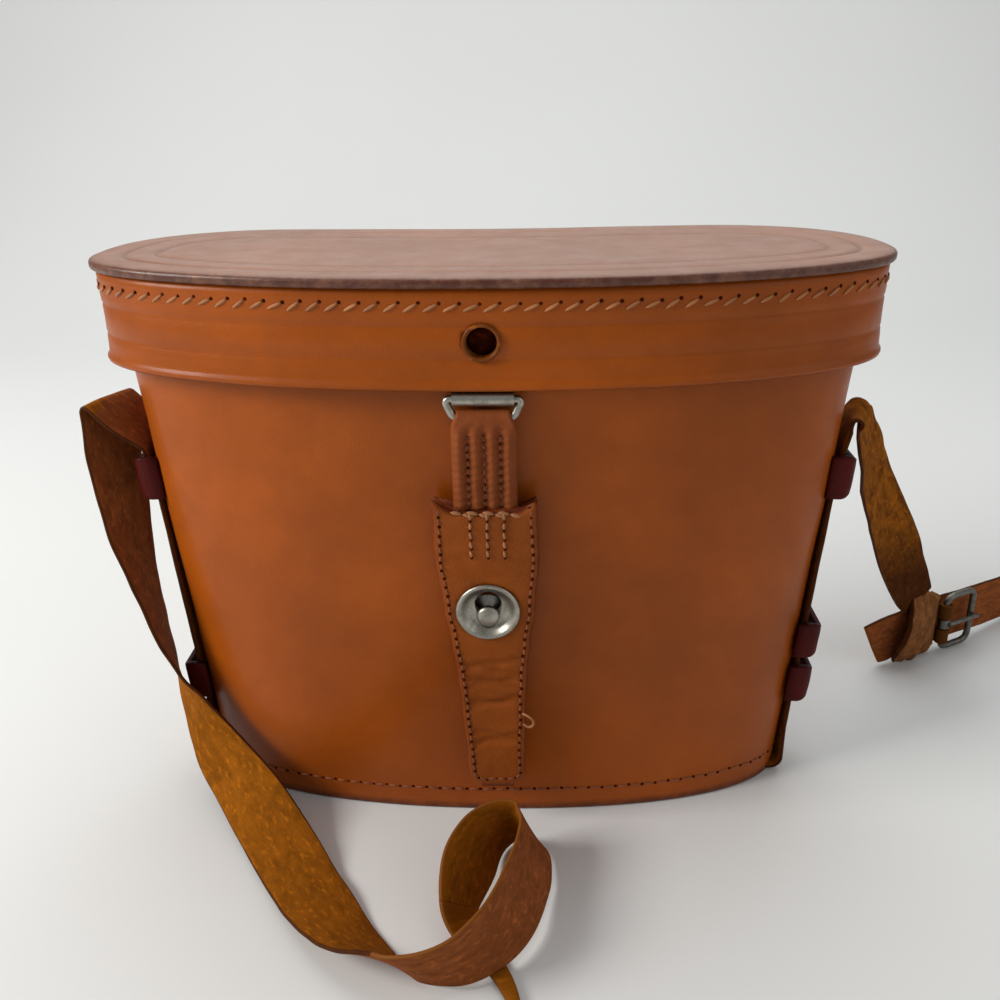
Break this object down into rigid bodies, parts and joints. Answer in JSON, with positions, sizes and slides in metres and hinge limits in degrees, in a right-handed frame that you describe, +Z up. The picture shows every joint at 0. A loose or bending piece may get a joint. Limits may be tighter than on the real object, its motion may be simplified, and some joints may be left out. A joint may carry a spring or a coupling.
{
  "type": "binocular case",
  "caption": "Hard leather binocular case with a bean-shaped plan, a hinged telescoping lid, a sprung stud latch and a carrying strap run through side keepers",
  "frame": {"origin": "on the ground under the middle of the closed case, without its free strap", "axes": "+X along the case to the right as its latch is seen, -Y out of the latch side, +Z up"},
  "size_m": [0.3142, 0.2046, 0.152],
  "materials": {
    "saddle_leather": "vegetable-tanned saddle leather, waxed and worn",
    "top_leather": "rubbed saddle leather with a pressed line",
    "strap_leather": "dark strap leather, grain side",
    "strap_flesh": "strap leather, flesh side out",
    "keeper_leather": "dark dyed leather",
    "tab_leather": "soft folded leather",
    "case_lining": "short pile lining cloth",
    "base_board": "leather board",
    "nickel": "dull worn nickel plate",
    "spring_steel": "drawn spring wire",
    "lacquered_metal": "dark lacquered eyelet"
  },
  "bodies": {
    "case": {"body_shell": "saddle_leather", "base_panel": "base_board", "body_lining": "case_lining", "base_lining": "case_lining", "catch_stud": "nickel", "stud_washer": "nickel", "hinge_leaf_body": "saddle_leather", "hinge_fold": "saddle_leather", "strap_side_run": "strap_leather", "strap_left_fall": "strap_leather", "strap_left_ground": "strap_flesh", "strap_left_loop": "strap_leather", "strap_right_fall": "strap_flesh", "strap_tail": "strap_leather", "strap_knot": "strap_flesh", "buckle_frame": "nickel", "buckle_chape": "strap_flesh", "keeper_left_upper": "keeper_leather", "keeper_left_lower": "keeper_leather", "keeper_right_upper": "keeper_leather", "keeper_right_middle": "keeper_leather", "keeper_right_lower": "keeper_leather"},
    "lid": {"lid_wall": "saddle_leather", "lid_top": "top_leather", "lid_lining": "case_lining", "lid_eyelet": "lacquered_metal", "loop_chape": "nickel", "hinge_leaf_lid": "saddle_leather"},
    "loop": {"wire_loop": "nickel"},
    "tab": {"latch_tab": "tab_leather", "tab_springs": "spring_steel"},
    "latch": {"latch_strap_front": "saddle_leather", "latch_strap_back": "saddle_leather", "keyhole_plate": "nickel", "plate_backing": "nickel"},
    "prong": {"buckle_prong": "nickel"}
  },
  "joints": [
    {"name": "lid_hinge", "type": "hinge", "parent": "case", "child": "lid", "pos_m": [0, 0.03613, 0.1265], "axis": [-1, 0, 0], "range_deg": [0, 110], "deforming": ["hinge_fold"]},
    {"name": "loop_swing", "type": "hinge", "parent": "lid", "child": "loop", "pos_m": [0, -0.03717, 0.1245], "axis": [-1, 0, 0], "range_deg": [0, 90]},
    {"name": "tab_swing", "type": "hinge", "parent": "loop", "child": "tab", "pos_m": [0, -0.03717, 0.12], "axis": [-1, 0, 0], "range_deg": [0, 85]},
    {"name": "latch_stretch", "type": "slide", "parent": "tab", "child": "latch", "axis": [0, 0.0617, -0.9981], "range_m": [0, 0.0033], "stiffness_N_per_m": 300, "deforming": ["latch_tab", "tab_springs"]},
    {"name": "prong_swing", "type": "hinge", "parent": "case", "child": "prong", "pos_m": [0.15496, 0.05936, 0.0118], "axis": [0, 0, -1], "range_deg": [0, 60]}
  ]
}
